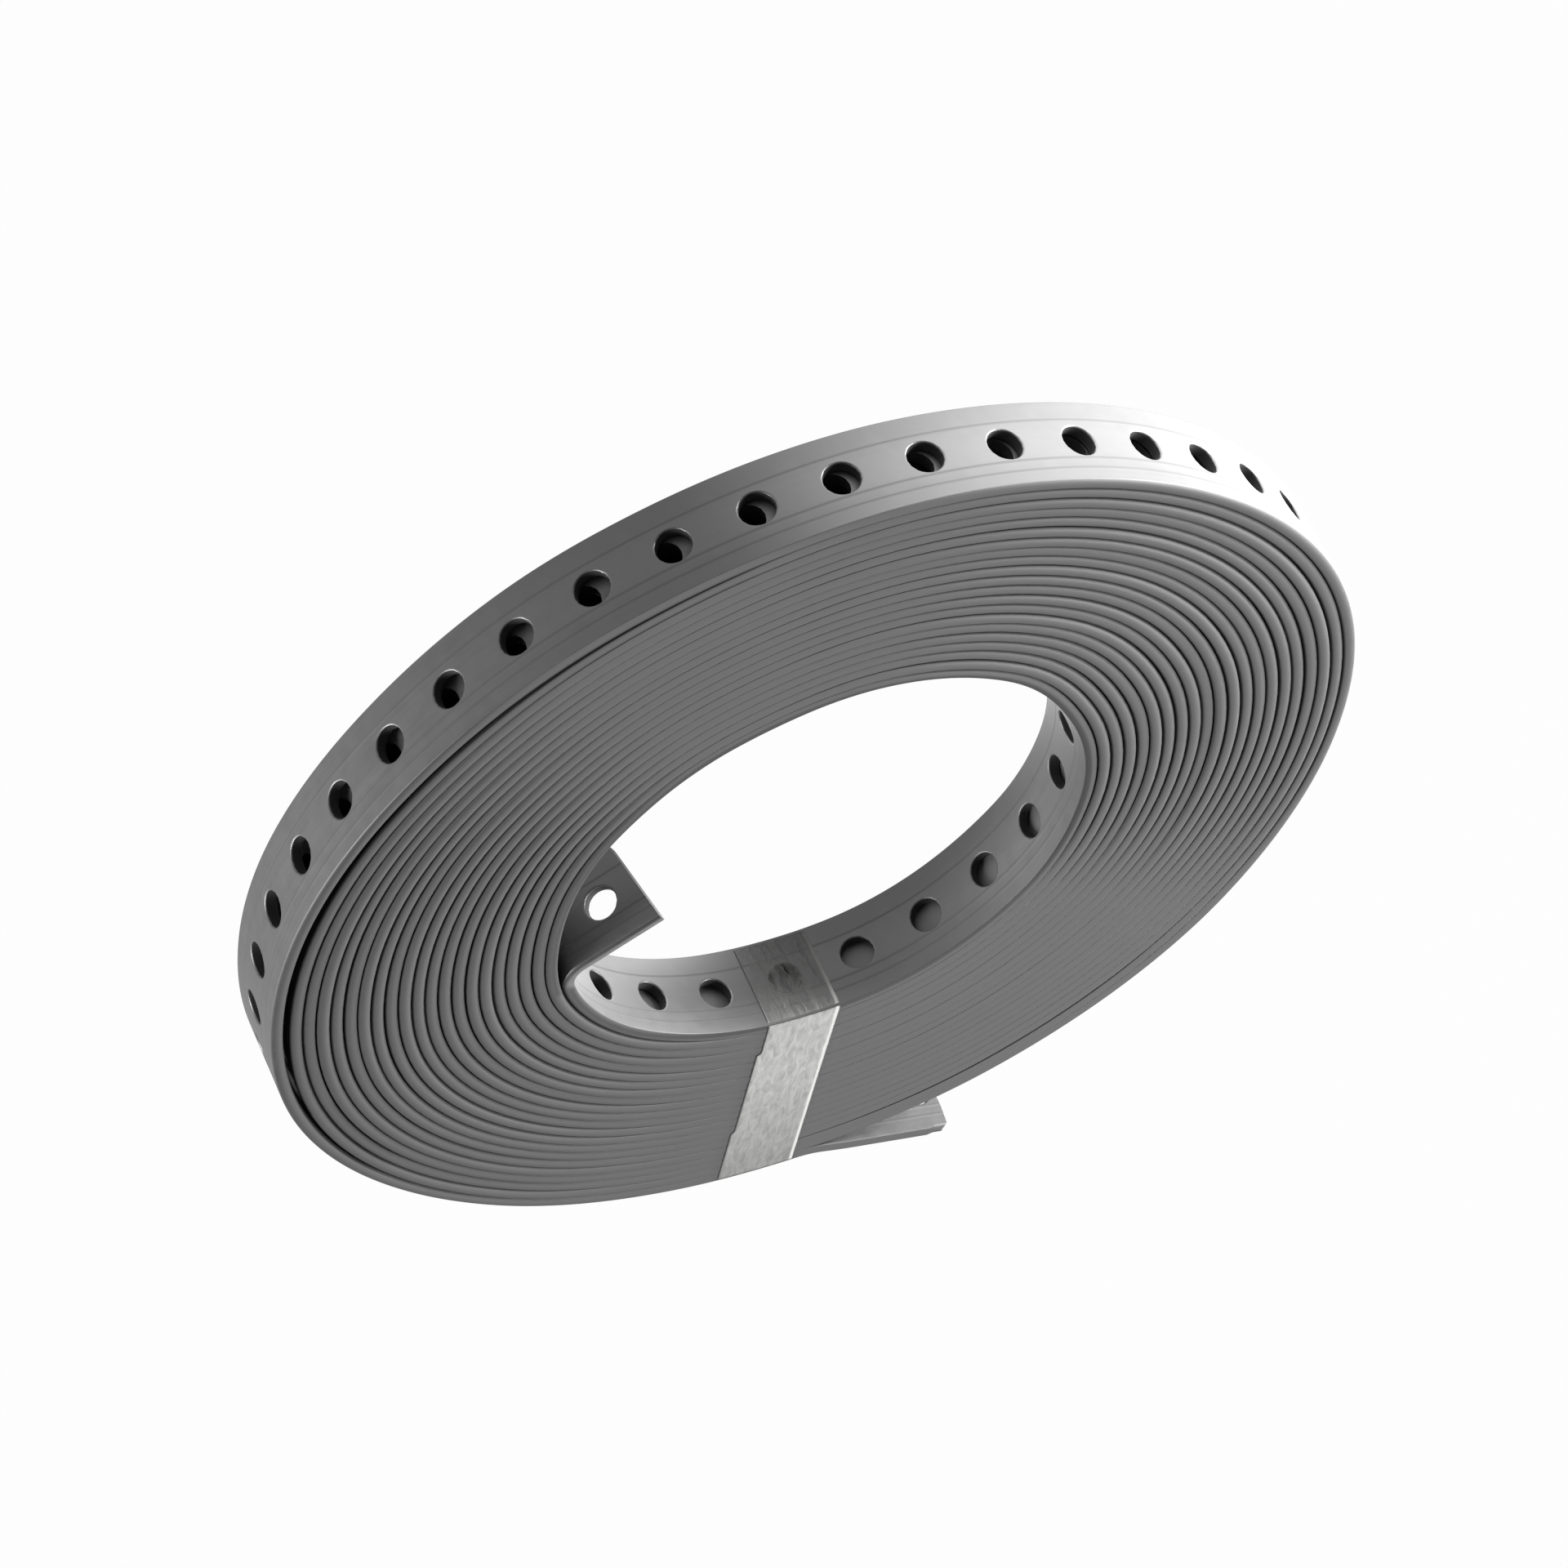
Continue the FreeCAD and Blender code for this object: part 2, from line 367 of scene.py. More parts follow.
def flatStrap(path):
    # The whole strap laid straight: hole cells a pitch apart from both ends, plain strap
    # where they meet and round the bend, and flat caps on the tips. Only the cells that
    # can be seen are fine and have rounded rims.
    d = strap
    pitch, half = d["pitch"], d["pitch"] / 2
    fine = cellTemplate(steps=8, across=4, rounded=True, back=half, front=half)
    coarse = cellTemplate(steps=4, across=4, rounded=False, back=half, front=half)
    innerTip = cellTemplate(steps=8, across=4, rounded=True, back=d["tabTipToHole"], front=half)
    outerTip = cellTemplate(steps=8, across=4, rounded=True, back=half, front=d["tailTipToHole"])
    # Fine cells reach this far past the innermost turn's end and before the outermost.
    innerMargin, outerMargin = 20, 40
    bendFrom = d["tabTipToHole"] + half
    firstInner = path["seam"] + d["firstBoreHole"]
    tipHole = path["tip"] - d["tailTipToHole"]
    innerShown = int((path["innermostEnd"] + innerMargin - firstInner) / pitch)
    outerShown = int((tipHole - path["outermost"] + outerMargin) / pitch)
    hiddenFrom = firstInner + pitch * innerShown - half
    hiddenTo = tipHole - pitch * outerShown - half
    hidden = int((hiddenTo - hiddenFrom) / pitch)
    filledFrom = hiddenFrom + hidden * pitch
    parts = [
        repeated(innerTip, d["tabTipToHole"]),
        repeated(blankTemplate(firstInner - half - bendFrom, steps=16, across=4), bendFrom),
        repeated(fine, firstInner + pitch * np.arange(innerShown)),
        repeated(outerTip, tipHole),
        repeated(fine, tipHole - pitch * np.arange(1, outerShown + 1)),
        repeated(coarse, hiddenFrom + half + pitch * np.arange(hidden)),
        repeated(blankTemplate(hiddenTo - filledFrom, steps=4, across=4), filledFrom),
    ]
    section = strapSection(4)[0]
    none = np.zeros((0, 4), int)
    for at, way in ((0.0, -1.0), (path["tip"], 1.0)):
        cap = np.column_stack([np.full(len(section), at), section])
        normal = np.tile([way, 0.0, 0.0], (len(section), 1))
        parts.append((cap, normal, none, np.zeros(len(section))))
    counts = np.cumsum([0] + [len(part[0]) for part in parts])
    points, normals, inHole = (np.concatenate([part[n] for part in parts]) for n in (0, 1, 3))
    quads = np.concatenate([part[2] + count for part, count in zip(parts, counts)])
    caps = [np.arange(counts[-3], counts[-2]), np.arange(counts[-2], counts[-1])]
    print("strap cells:", 1 + innerShown + outerShown + 1 + hidden, "points:", len(points))
    return points, normals, quads, inHole, caps


def angleAt(place):
    # Direction from the coil's axis in degrees, from 0 to 360.
    return np.degrees(np.angle(place - complex(*strap["place"][:2]))) % 360


def outOfRound(place):
    # Radial offset of the wound turns. Raised cosines join the values at every 30
    # degrees, and straight lines the bore's values to the rim's.
    spoke = place - complex(*strap["place"][:2])
    across = (np.abs(spoke) - strap["boreRadius"]) / (strap["turns"] * strap["turnPitch"])
    across = np.clip(across, 0, 1)
    total = 0
    for n, (bore, rim) in enumerate(zip(strap["boreOffsets"], strap["rimOffsets"])):
        away = (angleAt(place) - 30 * n) % 360 - 180
        total = total + hump(away, 30) * (bore + (rim - bore) * across)
    return total * spoke / np.abs(spoke)


def looseAt(place):
    # 0 where the turns lie flush and close, at the tape and more narrowly across from it,
    # and 1 where they are round and apart.
    around = np.radians(angleAt(place) - strap["tightAt"])
    aside = np.abs(np.sin(around))
    fromTape = smoothStep(aside, *strap["opensFromTape"])
    return np.where(np.cos(around) > 0, fromTape, smoothStep(aside, *strap["opensAcross"]))


def looseWinding(s, path, loose):
    # How far the strap lies from the true spiral, outwards and upwards. Both are sums of
    # slow waves, and humps hold the last turns off. Outwards fades on the free ends.
    d = strap
    wound = smoothStep(s, path["seam"], path["seam"] + d["fadeLength"])
    wound = wound * (1 - smoothStep(s, path["tail"] - d["fadeLength"], path["tail"]))
    out = d["looseness"] * noise(s, 3, d["looseSpans"]) * loose
    # Degrees from the seam on the outermost turn, and below 0 on the turns inside it.
    perDegree = math.radians(1) * (d["boreRadius"] + d["turns"] * d["turnPitch"])
    turned = (s - path["tail"]) / perDegree + d["tailStart"] + 360
    out = out + d["springHeight"] * hump(turned - d["springAt"], d["springSpread"])
    apart = (turned - d["gapAt"] + 180) % 360 - 180
    outer = turned > d["gapAt"] - 360 * d["gapTurns"] + 180
    out = out + d["gapHeight"] * hump(apart, d["gapSpread"]) * outer
    rise = np.maximum(d["unevenness"] * noise(s, 11, d["unevenSpans"]), d["lowestSag"])
    return out * wound, rise * (d["tightUnevenness"] + (1 - d["tightUnevenness"]) * loose)


def makeStrap():
    # The flat strap bent along its middle line, with its free ends finished and its turns
    # a little loose.
    d = strap
    path = runsToPath(strapRuns())
    seam, tail, tip = path["seam"], path["tail"], path["tip"]
    points, normals, quads, inHole, caps = flatStrap(path)
    s, depth, height = points.T
    dip = np.minimum(height, d["width"] - height)
    # The inner tip is cut askew, its lower long edge the shorter one. The outer tip's
    # corners are rounded off.
    moved = (1 - smoothStep(s, *d["skewFades"])) * (1 - height / d["width"]) * d["tabTipSkew"]
    short = np.clip(1 - dip / d["tailCornerRound"], 0, 1)
    atTip = smoothStep(s, tip - d["tailTip"], tip)
    moved -= d["tailCornerRound"] * (1 - np.sqrt(1 - short**2)) * atTip
    place, heading = along(path, np.clip(s, 0, tip))
    forward, outward = np.exp(1j * heading), np.exp(1j * (heading - np.pi / 2))
    place += moved * forward
    # The free ends go along with the turn that they grow out of, the tail less and less.
    seamPlace, tailPlace = along(path, np.array([seam, tail]))[0]
    tailKeeps = 1 - d["tailStraightened"] * smoothStep(s, tail, tail + d["tailStraightens"])
    offset = np.where(s < seam, outOfRound(seamPlace), outOfRound(place))
    place += np.where(s > tail, outOfRound(tailPlace) * tailKeeps, offset)
    # Tight turns fill their gaps, and their edges are lifted to lie flush.
    loose, degrees = looseAt(place), angleAt(place)
    out, rise = looseWinding(s, path, loose)
    thicker = 1 + d["gapClosed"] * (d["turnPitch"] / d["thickness"] - 1) * (1 - loose)
    place += (depth * thicker + out) * outward
    flush = np.where((s > seam) & (s < tip - d["tailTip"]), d["edgeClosed"] * (1 - loose), 0.0)
    lift = np.where(dip <= d["edgeDrop"] + 1e-9, dip * flush, 0.0)
    height = height + np.where(height > d["width"] / 2, lift, -lift)
    plan = normals[:, 0] * forward + normals[:, 1] * outward
    plan *= np.where(dip < d["edgeDrop"] - 1e-6, 1 - flush, 1.0)
    coordinates = np.stack([place.real, place.imag, height + rise + d["place"][2]], 1) * mm
    turned = np.stack([plan.real, plan.imag, normals[:, 2]], 1)
    uv = np.stack([s, height], 1) * mm
    # Share of painted shade for every point, a darkening that stands in for shade
    paintedShadeShare = paintedShadeAt(path, s, depth, dip, inHole, loose, degrees)
    return buildMesh("strapCoil", coordinates, turned, quads, caps, uv, paintedShadeShare)


def buildMesh(name, points, normals, quads, caps, uv, paintedShadeShare):
    # Points that coincide become one, quads are turned to face their normals, and every
    # corner keeps its own normal, pattern coordinates and share of painted shade.
    corner = points[quads]
    face = np.cross(corner[:, 2] - corner[:, 0], corner[:, 3] - corner[:, 1])
    flip = np.einsum("ij,ij->i", face, normals[quads].sum(1)) < 0
    quads = np.where(flip[:, None], quads[:, ::-1], quads)
    keys = np.round(points / (0.002 * mm)).astype(np.int64)
    _, first, merged = np.unique(keys, axis=0, return_index=True, return_inverse=True)
    merged = merged.reshape(-1)
    loops = [quads.reshape(-1)]
    sizes = [np.full(len(quads), 4)]
    for cap in caps:
        shape = points[cap]
        area = np.cross(shape, np.roll(shape, -1, 0)).sum(0)
        loops.append(cap if area @ normals[cap[0]] > 0 else cap[::-1])
        sizes.append([len(cap)])
    loops, sizes = np.concatenate(loops), np.concatenate(sizes)
    starts = np.concatenate([[0], np.cumsum(sizes)[:-1]])
    mesh = bpy.data.meshes.new(name)
    mesh.vertices.add(len(first))
    mesh.vertices.foreach_set("co", points[first].reshape(-1))
    mesh.loops.add(len(loops))
    mesh.loops.foreach_set("vertex_index", merged[loops].astype(np.int32))
    mesh.polygons.add(len(sizes))
    mesh.polygons.foreach_set("loop_start", starts.astype(np.int32))
    mesh.polygons.foreach_set("use_smooth", np.ones(len(sizes), bool))
    mesh.update(calc_edges=True)
    layer = mesh.uv_layers.new(name="pattern")
    layer.data.foreach_set("uv", uv[loops].reshape(-1).astype(np.float32))
    paintedShade = mesh.attributes.new("paintedShade", "FLOAT", "CORNER")
    paintedShade.data.foreach_set("value", paintedShadeShare[loops].astype(np.float32))
    mesh.validate()
    unit = normals[loops] / np.linalg.norm(normals[loops], axis=1, keepdims=True)
    mesh.normals_split_custom_set(unit.tolist())
    piece = bpy.data.objects.new(name, mesh)
    bpy.context.scene.collection.objects.link(piece)
    return piece


# Galvanised steel: rolled strip with a dull zinc skin, grey and softly glossy
steel = {
    "zinc": "#808080",
    "spangle": "#6e6e6e",
    "roughness": 0.5,
    # Roll lines at these shares of the width, their half width in millimetres, how dark
    # they are and how high they stand against the streaks
    "rollLines": (0.24, 0.71, 0.83),
    "rollLineWidth": 0.45,
    "rollLineDark": 0.2,
    "rollLineRelief": 1.6,
    # Painted shade, standing in for shade in sheltered places: its dark colour, how dull it is,
    # how much metal it leaves, and its share in holes, on slit edges, on the innermost turn's
    # inner ones, on bare faces, between turns and under the lifted turn
    "film": "#202020",
    "paintedShadeDullness": 0.4,
    "paintedShadeMetal": 0.2,
    "inHoles": 0.65,
    "onSlitEdges": 0.35,
    "onBoreEdges": 0.7,
    "onFaces": 0.05,
    "betweenTurns": 0.7,
    "underLift": 0.95,
    # The painted shade sets in and ends at these depths below an end face, and slit edges lose
    # their share between these distances from a wide face. Under the lifted turn it sets in and
    # ends between these angles
    "setsIn": (0.0, 0.25),
    "ends": (3.6, 5.4),
    "slitEnds": (0.08, 0.01),
    "liftSetsIn": (98, 112),
    "liftEnds": (215, 235),
    # The tail's inner face is bare from this distance along it
    "tailBareFrom": 4.0,
    # Scales of the streaks and of the mottling, the least and most roughness that they
    # give on top, and how deep they are in millimetres
    "streakScale": (45, 1500, 1),
    "mottleScale": 330.0,
    "roughnessSpread": (-0.04, 0.06),
    "relief": 0.04,
}


def paintedShadeAt(path, s, depth, dip, inHole, loose, degrees):
    # Share of painted shade, a dark, dull colour standing in for shade: most on the walls of
    # holes and on faces between open turns, some on the slit edges, and little on bare faces.
    d, drop = steel, strap["edgeDrop"]
    innermost, outermost = s < path["innermostEnd"], s > path["outermost"]
    onTail = s > path["tail"] + d["tailBareFrom"]
    bare = np.where(depth > 0, outermost | (s < path["seam"]), innermost | onTail)
    lift = smoothStep(degrees, *d["liftSetsIn"]) * (1 - smoothStep(degrees, *d["liftEnds"]))
    lift = np.where((s > path["lastButOne"]) & (s < path["tail"]), lift, 0.0)
    apart = np.maximum(d["betweenTurns"] * loose, d["underLift"] * lift)
    faces = smoothStep(dip, *d["setsIn"]) * (1 - smoothStep(dip, *d["ends"]))
    faces = faces * (d["onFaces"] + np.where(bare, 0.0, apart))
    above, flat = d["slitEnds"]
    slit = np.where((depth < 0) & innermost, d["onBoreEdges"], d["onSlitEdges"])
    slit = slit * (s > path["seam"]) * (1 - smoothStep(dip, drop - above, drop - flat))
    return np.maximum(np.maximum(d["inHoles"] * inHole, slit), faces)


def galvanisedSteel():
    # Soft mottling of the zinc, about 3 mm across, and fine rolling streaks along the
    # strap vary colour and roughness. Three shallow roll lines run its whole length.
    # Holes, slit edges and the gaps between turns get painted shade, a dark, dull colour.
    material, tree = newMaterial("galvanisedSteel")
    pattern = addNode(tree, "ShaderNodeUVMap", {"uv_map": "pattern"}).outputs[0]
    place = addNode(tree, "ShaderNodeTexCoord").outputs["Object"]
    stretched = addNode(tree, "ShaderNodeMapping", i0=pattern, i3=steel["streakScale"]).outputs[0]
    streaks = addNode(tree, "ShaderNodeTexNoise", Vector=stretched, Scale=1.0, Detail=3.0)
    mottle = addNode(tree, "ShaderNodeTexNoise", Vector=place, Scale=steel["mottleScale"], Detail=3.0)
    both = addNode(tree, "ShaderNodeMath", {"operation": "MULTIPLY"}, i0=streaks.outputs[0], i1=0.5)
    added = {"operation": "MULTIPLY_ADD"}
    both = addNode(tree, "ShaderNodeMath", added, i0=mottle.outputs[0], i1=0.5, i2=both.outputs[0])
    both = both.outputs[0]
    height = addNode(tree, "ShaderNodeSeparateXYZ", Vector=pattern).outputs[1]
    lines = 0.0
    larger = {"operation": "MAXIMUM"}
    for share in steel["rollLines"]:
        at = share * strap["width"] * mm
        away = addNode(tree, "ShaderNodeMath", {"operation": "SUBTRACT"}, i0=height, i1=at)
        away = addNode(tree, "ShaderNodeMath", {"operation": "ABSOLUTE"}, i0=away.outputs[0])
        line = addNode(
            tree, "ShaderNodeMapRange", {"interpolation_type": "SMOOTHSTEP"}, Value=away.outputs[0],
            From_Min=0.0, From_Max=steel["rollLineWidth"] * mm, To_Min=1.0, To_Max=0.0,
        )
        lines = addNode(tree, "ShaderNodeMath", larger, i0=lines, i1=line.outputs[0]).outputs[0]
    zinc = addNode(
        tree, "ShaderNodeMix", {"data_type": "RGBA"}, i0=both,
        i6=hexToLinear(steel["spangle"]), i7=hexToLinear(steel["zinc"]),
    )
    # Painted shade: its share darkens the colour towards the film colour, dulls it and takes metal away
    paintedShadeMask = addNode(tree, "ShaderNodeAttribute", {"attribute_name": "paintedShade"}).outputs["Fac"]
    scored = addNode(
        tree, "ShaderNodeMath", {"operation": "MULTIPLY"}, i0=lines, i1=steel["rollLineDark"]
    )
    dark = addNode(tree, "ShaderNodeMath", larger, i0=paintedShadeMask, i1=scored.outputs[0]).outputs[0]
    colour = addNode(
        tree, "ShaderNodeMix", {"data_type": "RGBA"}, i0=dark,
        i6=zinc.outputs[2], i7=hexToLinear(steel["film"]),
    )
    least, most = (steel["roughness"] + more for more in steel["roughnessSpread"])
    rough = addNode(
        tree, "ShaderNodeMapRange", Value=both, From_Min=0.3, From_Max=0.7, To_Min=least, To_Max=most
    )
    dull = addNode(tree, "ShaderNodeMath", added, i0=dark, i1=steel["paintedShadeDullness"], i2=rough.outputs[0])
    metal = addNode(tree, "ShaderNodeMapRange", Value=dark, To_Min=1.0, To_Max=steel["paintedShadeMetal"])
    relief = addNode(tree, "ShaderNodeMath", added, i0=lines, i1=steel["rollLineRelief"], i2=both)
    bump = addNode(
        tree, "ShaderNodeBump", Strength=0.25, Distance=steel["relief"] * mm, Height=relief.outputs[0]
    )
    surface = addNode(
        tree, "ShaderNodeBsdfPrincipled", Base_Color=colour.outputs[2],
        Metallic=metal.outputs[0], Roughness=dull.outputs[0], Normal=bump.outputs[0],
    )
    addNode(tree, "ShaderNodeOutputMaterial", Surface=surface.outputs[0])
    return material


# Clear tape: one loop round the roll's section, sizes in millimetres
tape = {
    "rightEdge": 10.9,
    "leftEdge": -2.6,
    # Where its left edge steps out, as (radius, step), and over what length
    "steps": ((57.0, 0.75), (83.0, 0.6)),
    "stepLength": 0.6,
    "thickness": 0.1,
    "clearance": 0.05,
    "cornerRound": 0.9,
    # Wrinkles are waves of the distance along the loop and of the share of the width,
    # each times its factor, and they fade towards both edges
    "wrinkleHeight": 0.05,
    "wrinkleSpans": (3.1, 4.7, 7.9),
    "wrinkleFactors": (0.3, 40),
    "cornerPoints": 7,
    "stepsRound": 240,
    "stepsAcross": 32,
}


def tapeProfile():
    # The loop in the radius and height plane: a rounded rectangle round the roll's
    # section with points about 0.6 mm apart, its outward directions, and the distance of
    # each point along it. It is worked out from the middles of its four corners.
    d, r = strap, tape["cornerRound"]
    inset = r - tape["clearance"]
    inner = d["boreRadius"] + inset
    outer = d["boreRadius"] + d["turns"] * d["turnPitch"] + d["thickness"] - inset
    low, high = inset, d["width"] - inset
    corners = ((inner, low, 180), (outer, low, 270), (outer, high, 0), (inner, high, 90))
    ring, away = [], []
    for radius, height, start in corners:
        turn = np.radians(np.linspace(start, start + 90, tape["cornerPoints"]))
        ray = np.stack([np.cos(turn), np.sin(turn)], 1)
        ring.append(np.array([radius, height]) + r * ray)
        away.append(ray)
    ring, away = np.concatenate(ring), np.concatenate(away)
    gaps = np.linalg.norm(np.roll(ring, -1, 0) - ring, axis=1)
    run = np.concatenate([[0], np.cumsum(gaps)])
    even = np.linspace(0, run[-1], tape["stepsRound"] + 1)
    wanted = np.unique(np.concatenate([even[:-1], run[:-1]]))
    ring, away = (np.concatenate([loop, loop[:1]]) for loop in (ring, away))
    profile = np.stack([np.interp(wanted, run, ring[:, i]) for i in (0, 1)], 1)
    outward = np.stack([np.interp(wanted, run, away[:, i]) for i in (0, 1)], 1)
    return profile, outward / np.linalg.norm(outward, axis=1, keepdims=True), wanted


def makeTape():
    # The profile carried across the tape's width, with wrinkles along it and a left edge
    # that steps where layers are offset. The upper side and the under side are grids of
    # distance along the loop and share of the width.
    d = strap
    profile, outward, wanted = tapeProfile()
    u, v = np.meshgrid(wanted, np.linspace(-0.5, 0.5, tape["stepsAcross"] + 1), indexing="ij")
    lengthwise, crosswise = tape["wrinkleFactors"]
    wrinkle = tape["wrinkleHeight"] * noise(lengthwise * u + crosswise * v, 5, tape["wrinkleSpans"])
    wrinkle = np.maximum(wrinkle * (1 - np.abs(2 * v) ** 6), 0)
    half = tape["stepLength"] / 2
    radius = profile[:, :1]
    stepped = sum(size * smoothStep(radius, at - half, at + half) for at, size in tape["steps"])
    left = tape["leftEdge"] - stepped
    x = left + (v + 0.5) * (tape["rightEdge"] - left)

    def surface(rise):
        radius = profile[:, None, 0] + outward[:, None, 0] * rise
        height = profile[:, None, 1] + outward[:, None, 1] * rise
        spot = x - 1j * np.sqrt(np.maximum(radius**2 - x**2, 1.0)) + complex(*d["place"][:2])
        spot += outOfRound(spot)
        return np.stack([spot.real, spot.imag, height + d["place"][2]], -1).reshape(-1, 3) * mm

    points = np.concatenate([surface(tape["thickness"] + wrinkle), surface(wrinkle)])
    n, m = u.shape
    grid = np.arange(n * m).reshape(n, m)
    nextRow = np.roll(grid, -1, 0)
    upper = np.stack([grid[:, :-1], nextRow[:, :-1], nextRow[:, 1:], grid[:, 1:]], -1).reshape(-1, 4)
    lower = upper[:, ::-1] + n * m
    sides = []
    for column, way in ((0, 1), (m - 1, -1)):
        a, b = grid[:, column], nextRow[:, column]
        sides.append(np.stack([a, b, b + n * m, a + n * m], 1)[:, ::way])
    quads = np.concatenate([upper, lower] + sides)
    mesh = bpy.data.meshes.new("bindingTape")
    mesh.from_pydata(points.tolist(), [], quads.tolist())
    layer = mesh.uv_layers.new(name="pattern")
    uv = np.tile(np.stack([u.reshape(-1), tape["rightEdge"] - x.reshape(-1)], 1) * mm, (2, 1))
    layer.data.foreach_set("uv", uv[quads.reshape(-1)].reshape(-1).astype(np.float32))
    # The left edge of the tape, which gets a painted shadow
    cut = np.tile((v.reshape(-1) == -0.5).astype(np.float32), 2)
    mesh.attributes.new("cutEdge", "FLOAT", "POINT").data.foreach_set("value", cut)
    mesh.update()
    mesh.polygons.foreach_set("use_smooth", np.ones(len(quads), bool))
    piece = bpy.data.objects.new("bindingTape", mesh)
    bpy.context.scene.collection.objects.link(piece)
    return piece


# Clear tape film: dry polypropylene, milky where it is wrinkled, streaked along its length
film = {
    # Milky colour, then the colours of the painted highlight on the right edge and the painted shadow on
    # the left edge
    "milk": "#b4b4b2",
    "edge": "#e4e4e2",
    "shade": "#3c3c3c",
    "roughness": 0.4,
    # Least and most cover where it lies flat on a wall and where it bridges the turns
    "onWall": (0.03, 0.5),
    "onTurns": (0.42, 0.85),
    "edgeCover": 0.85,
    # Share of the cover that is left at the rim, and where the cover is full and where it has fallen off
    # to that share
    "rimCover": 0.45,
    "coverFallsOff": (-62.0, -94.0),
    # Width of the painted highlight along the right edge, full and gone
    "edgeHighlight": (0.4, 0.9),
    # Scale of the milky streaks along and across the tape, and their depth
    "streakScale": (300, 900, 1),
    "relief": 0.06,
}


def clearFilm():
    # Milky streaks where the film bridges the turns with air under it, nearly clear where
    # it sticks flat to a wall, and with less cover towards the rim, so darker there. A painted
    # highlight lightens the right edge and a painted shadow darkens the left one.
    material, tree = newMaterial("clearFilm")
    pattern = addNode(tree, "ShaderNodeUVMap", {"uv_map": "pattern"}).outputs[0]
    stretched = addNode(tree, "ShaderNodeMapping", i0=pattern, i3=film["streakScale"]).outputs[0]
    fibres = addNode(
        tree, "ShaderNodeTexNoise", Vector=stretched, Scale=1.0, Detail=5.0, Distortion=0.8
    ).outputs[0]
    facing = addNode(tree, "ShaderNodeNewGeometry").outputs["True Normal"]
    facing = addNode(tree, "ShaderNodeSeparateXYZ", Vector=facing).outputs[2]
    bridged = addNode(tree, "ShaderNodeMath", {"operation": "ABSOLUTE"}, i0=facing).outputs[0]
    least, most = (
        addNode(
            tree, "ShaderNodeMapRange", Value=bridged, From_Min=0.3, From_Max=0.8,
            To_Min=wall, To_Max=turns,
        ).outputs[0]
        for wall, turns in zip(film["onWall"], film["onTurns"])
    )
    cover = addNode(
        tree, "ShaderNodeMapRange", Value=fibres, From_Min=0.3, From_Max=0.7, To_Min=least, To_Max=most
    )
    place = addNode(tree, "ShaderNodeTexCoord").outputs["Object"]
    forward = addNode(tree, "ShaderNodeSeparateXYZ", Vector=place).outputs[1]
    # Less cover towards the rim, so the tape shows darker there
    full, faint = film["coverFallsOff"]
    fallOff = addNode(
        tree, "ShaderNodeMapRange", Value=forward, From_Min=faint * mm, From_Max=full * mm,
        To_Min=film["rimCover"], To_Max=1.0,
    )
    multiply = {"operation": "MULTIPLY"}
    cover = addNode(tree, "ShaderNodeMath", multiply, i0=cover.outputs[0], i1=fallOff.outputs[0])
    side = addNode(tree, "ShaderNodeSeparateXYZ", Vector=pattern).outputs[1]
    full, gone = film["edgeHighlight"]
    edgeHighlight = addNode(
        tree, "ShaderNodeMapRange", Value=side, From_Min=full * mm, From_Max=gone * mm,
        To_Min=1.0, To_Max=0.0,
    ).outputs[0]
    # The left edge mask, for the painted shadow there
    cut = addNode(tree, "ShaderNodeAttribute", {"attribute_name": "cutEdge"}).outputs["Fac"]
    pale = addNode(
        tree, "ShaderNodeMix", {"data_type": "RGBA"}, i0=edgeHighlight,
        i6=hexToLinear(film["milk"]), i7=hexToLinear(film["edge"]),
    )
    colour = addNode(
        tree, "ShaderNodeMix", {"data_type": "RGBA"}, i0=cut,
        i6=pale.outputs[2], i7=hexToLinear(film["shade"]),
    )
    larger = {"operation": "MAXIMUM"}
    edges = addNode(tree, "ShaderNodeMath", larger, i0=cut, i1=edgeHighlight)
    solid = addNode(tree, "ShaderNodeMath", multiply, i0=edges.outputs[0], i1=film["edgeCover"])
    opacity = addNode(tree, "ShaderNodeMath", larger, i0=solid.outputs[0], i1=cover.outputs[0])
    bump = addNode(tree, "ShaderNodeBump", Strength=0.3, Distance=film["relief"] * mm, Height=fibres)
    surface = addNode(
        tree, "ShaderNodeBsdfPrincipled", Base_Color=colour.outputs[2],
        Roughness=film["roughness"], Alpha=opacity.outputs[0], Normal=bump.outputs[0],
    )
    addNode(tree, "ShaderNodeOutputMaterial", Surface=surface.outputs[0])
    return material


coil = makeStrap()
coil.data.materials.append(galvanisedSteel())
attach(coil, "root")
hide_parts("strap_coil")
print("strap made:", len(coil.data.polygons), "faces")

band = makeTape()
band.data.materials.append(clearFilm())
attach(band, "root")
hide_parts("binding_tape")
print("tape made:", len(band.data.polygons), "faces")

# Studio: a floor that looks white, softboxes round the coil, and a pale room
studio = {
    "floorSize": 6.0,
    "floorColour": "#6a6a6a",
    "floorWhite": 0.98,
    "floorReflected": 0.7,
    # Painted reflections: glowing pools on the floor that only reflections see, as x, y, the radii
    # within which they are full and past which they are gone, in millimetres, and their strength
    "paintedPools": ((105, 108, 62, 148, 4.0), (128, 12, 25, 60, 2.5), (-26, -38, 4, 34, 3.3)),
    "room": 0.15,
    # Each lamp as azimuth, elevation, distance, size and power
    "lamps": {
        "lowLamp": (18, 5.5, 0.7, (0.5, 0.1), 14.0),
        "highLamp": (5, 36, 0.8, (0.4, 0.3), 8.0),
        "farLamp": (-66, 35, 0.9, (0.6, 0.3), 2.0),
        "leftLamp": (192, 12, 0.9, (0.5, 0.2), 9.5),
    },
}


